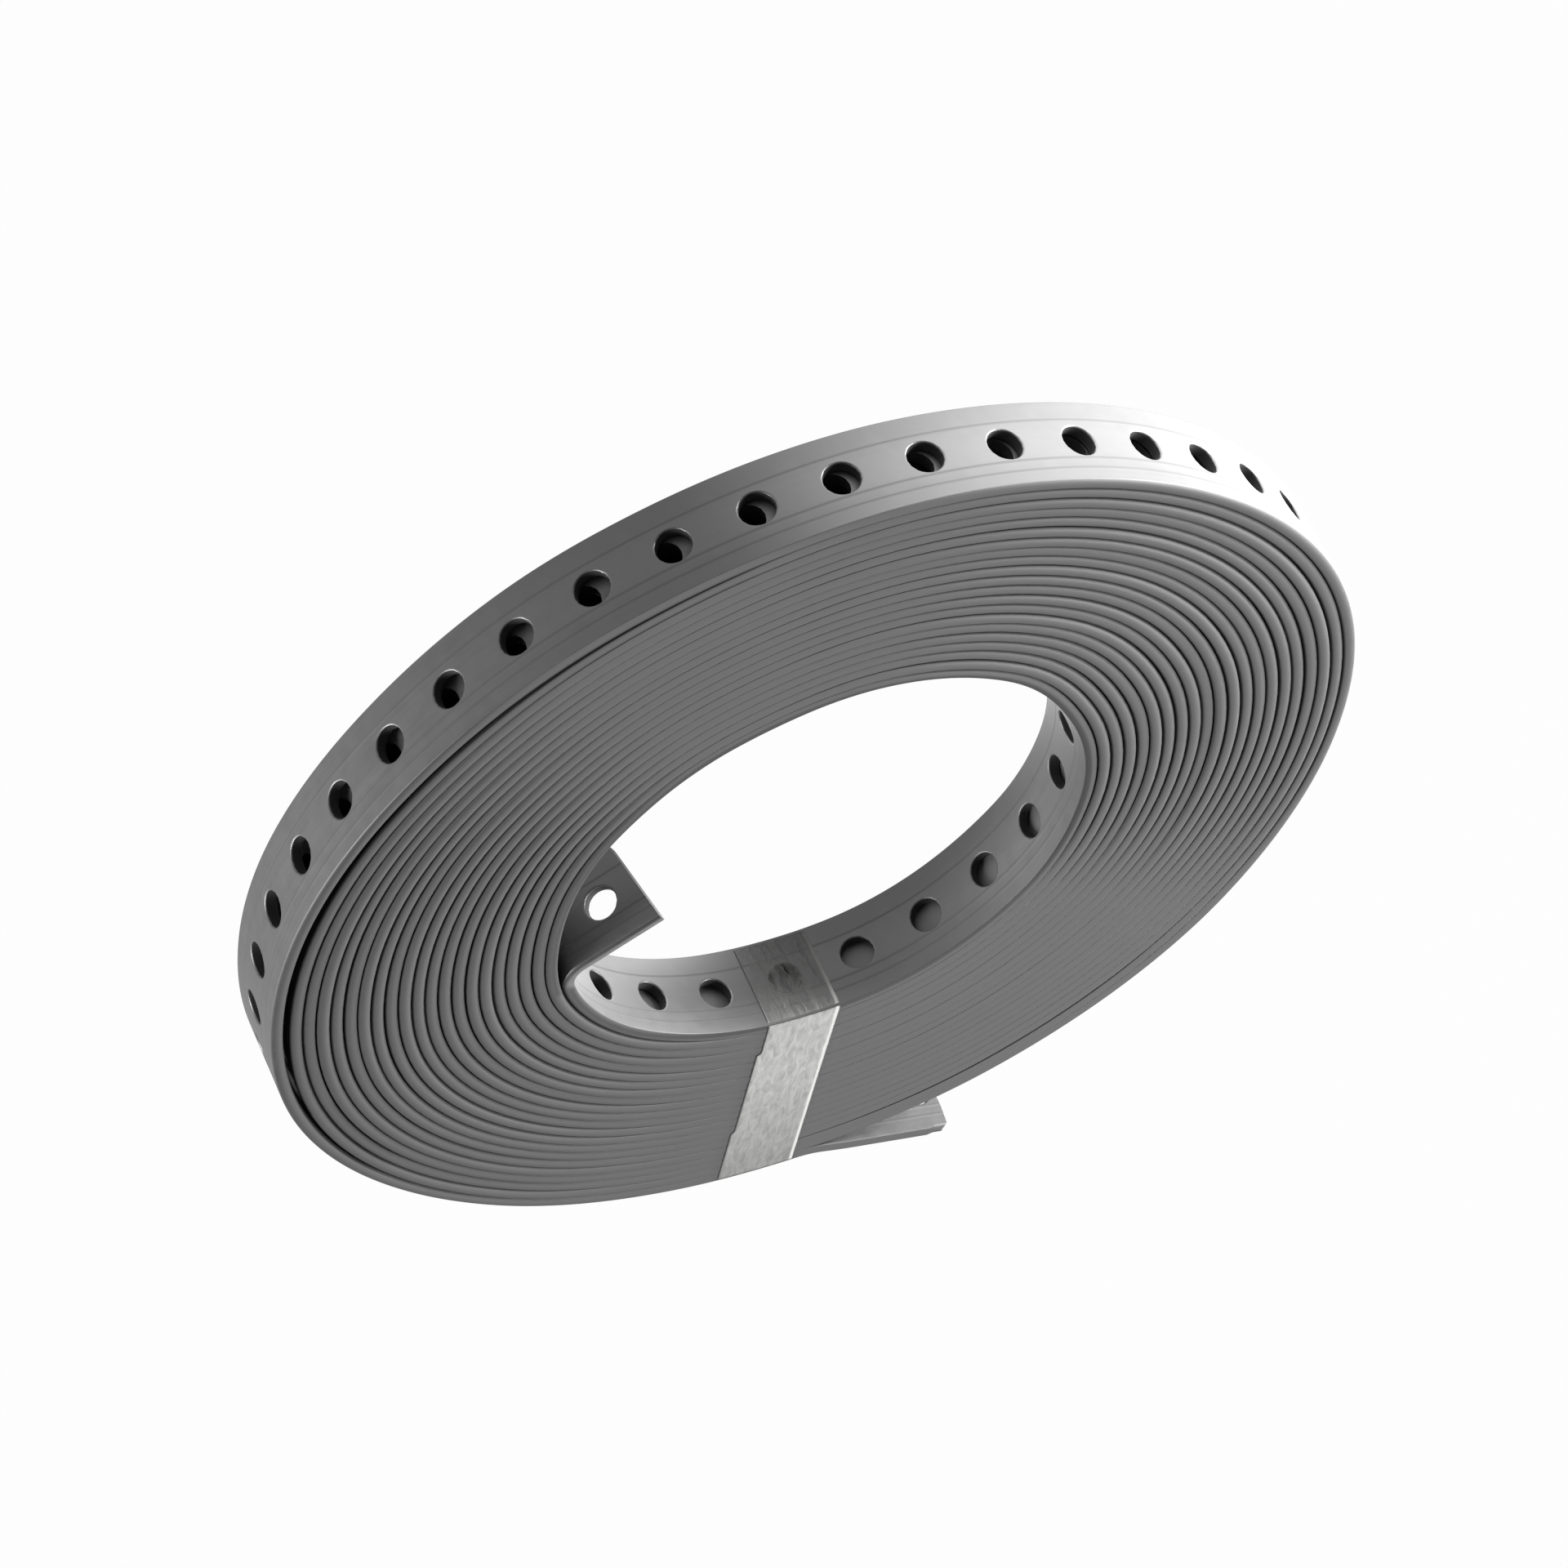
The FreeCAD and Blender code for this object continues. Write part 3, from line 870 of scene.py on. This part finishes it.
def makeFloor():
    # A flat square that is white to the camera and still takes a shadow. Reflections see
    # it glowing, with brighter pools of painted light that paint highlights on the steel.
    half = studio["floorSize"] / 2
    corners = [(-half, -half, 0), (half, -half, 0), (half, half, 0), (-half, half, 0)]
    mesh = bpy.data.meshes.new("studioFloor")
    mesh.from_pydata(corners, [], [(0, 1, 2, 3)])
    floor = bpy.data.objects.new("studioFloor", mesh)
    bpy.context.scene.collection.objects.link(floor)
    material, tree = newMaterial("paperFloor")
    paper = addNode(tree, "ShaderNodeBsdfDiffuse", Color=hexToLinear(studio["floorColour"]))
    ray = addNode(tree, "ShaderNodeLightPath").outputs
    spot = addNode(tree, "ShaderNodeNewGeometry").outputs["Position"]
    strength = studio["floorReflected"]
    # Painted reflections: each pool adds glow that only glossy rays see
    for x, y, full, gone, power in studio["paintedPools"]:
        middle = (x * mm, y * mm, 0)
        away = addNode(tree, "ShaderNodeVectorMath", {"operation": "DISTANCE"}, i0=spot, i1=middle)
        paintedPool = addNode(
            tree, "ShaderNodeMapRange", {"interpolation_type": "SMOOTHSTEP"}, Value=away.outputs["Value"],
            From_Min=full * mm, From_Max=gone * mm, To_Min=power, To_Max=0.0,
        )
        strength = addNode(tree, "ShaderNodeMath", {"operation": "ADD"}, i0=strength, i1=paintedPool.outputs[0])
        strength = strength.outputs[0]
    bright = addNode(tree, "ShaderNodeMix", i0=ray["Is Glossy Ray"], i2=1.0, i3=strength)
    white = addNode(tree, "ShaderNodeEmission", Color=(1, 1, 1, 1), Strength=bright.outputs[0])
    either = {"operation": "MAXIMUM"}
    seen = addNode(tree, "ShaderNodeMath", either, i0=ray["Is Camera Ray"], i1=ray["Is Transmission Ray"])
    shown = addNode(
        tree, "ShaderNodeMath", {"operation": "MULTIPLY"}, i0=seen.outputs[0], i1=studio["floorWhite"]
    )
    share = addNode(tree, "ShaderNodeMath", either, i0=shown.outputs[0], i1=ray["Is Glossy Ray"])
    both = addNode(
        tree, "ShaderNodeMixShader", i0=share.outputs[0], i1=paper.outputs[0], i2=white.outputs[0]
    )
    addNode(tree, "ShaderNodeOutputMaterial", Surface=both.outputs[0])
    mesh.materials.append(material)


def makeLamp(name, azimuth, elevation, distance, size, power):
    # A rectangular softbox at an azimuth, elevation and distance, turned to the coil.
    lamp = bpy.data.lights.new(name, "AREA")
    lamp.shape = "RECTANGLE"
    lamp.size, lamp.size_y = size
    lamp.energy = power
    holder = bpy.data.objects.new(name, lamp)
    a, e = math.radians(azimuth), math.radians(elevation)
    way = (math.cos(e) * math.cos(a), math.cos(e) * math.sin(a), math.sin(e))
    holder.location = [distance * c for c in way]
    holder.rotation_euler = (math.pi / 2 - e, 0, a + math.pi / 2)
    bpy.context.scene.collection.objects.link(holder)


def makeRoom():
    # Even pale light from all round.
    world = bpy.data.worlds.new("paleRoom")
    bpy.context.scene.world = world
    world.use_nodes = True
    world.node_tree.nodes.clear()
    light = addNode(world.node_tree, "ShaderNodeBackground", Color=(1, 1, 1, 1), Strength=studio["room"])
    addNode(world.node_tree, "ShaderNodeOutputWorld", Surface=light.outputs[0])


# Camera: the photograph's own view, fitted to the rims of the coil and its holes
photoView = {
    "lens": 129.99,
    "sensor": 36.0,
    "location": (-0.343158, 0.768421, 0.478633),
    "angles": (-57.50293, -22.63620, 10.37638),
}


def makeCamera():
    # The camera from its lens in millimetres, place in metres and angles in degrees. The
    # view transform is the plain one.
    view = bpy.data.cameras.new("photoCamera")
    view.lens = photoView["lens"]
    view.sensor_width = photoView["sensor"]
    camera = bpy.data.objects.new("photoCamera", view)
    camera.location = photoView["location"]
    camera.rotation_euler = [math.radians(angle) for angle in photoView["angles"]]
    bpy.context.scene.collection.objects.link(camera)
    bpy.context.scene.camera = camera
    bpy.context.scene.view_settings.view_transform = "Standard"


makeFloor()
makeRoom()
for name, lamp in studio["lamps"].items():
    makeLamp(name, *lamp)
makeCamera()
print("studio made")
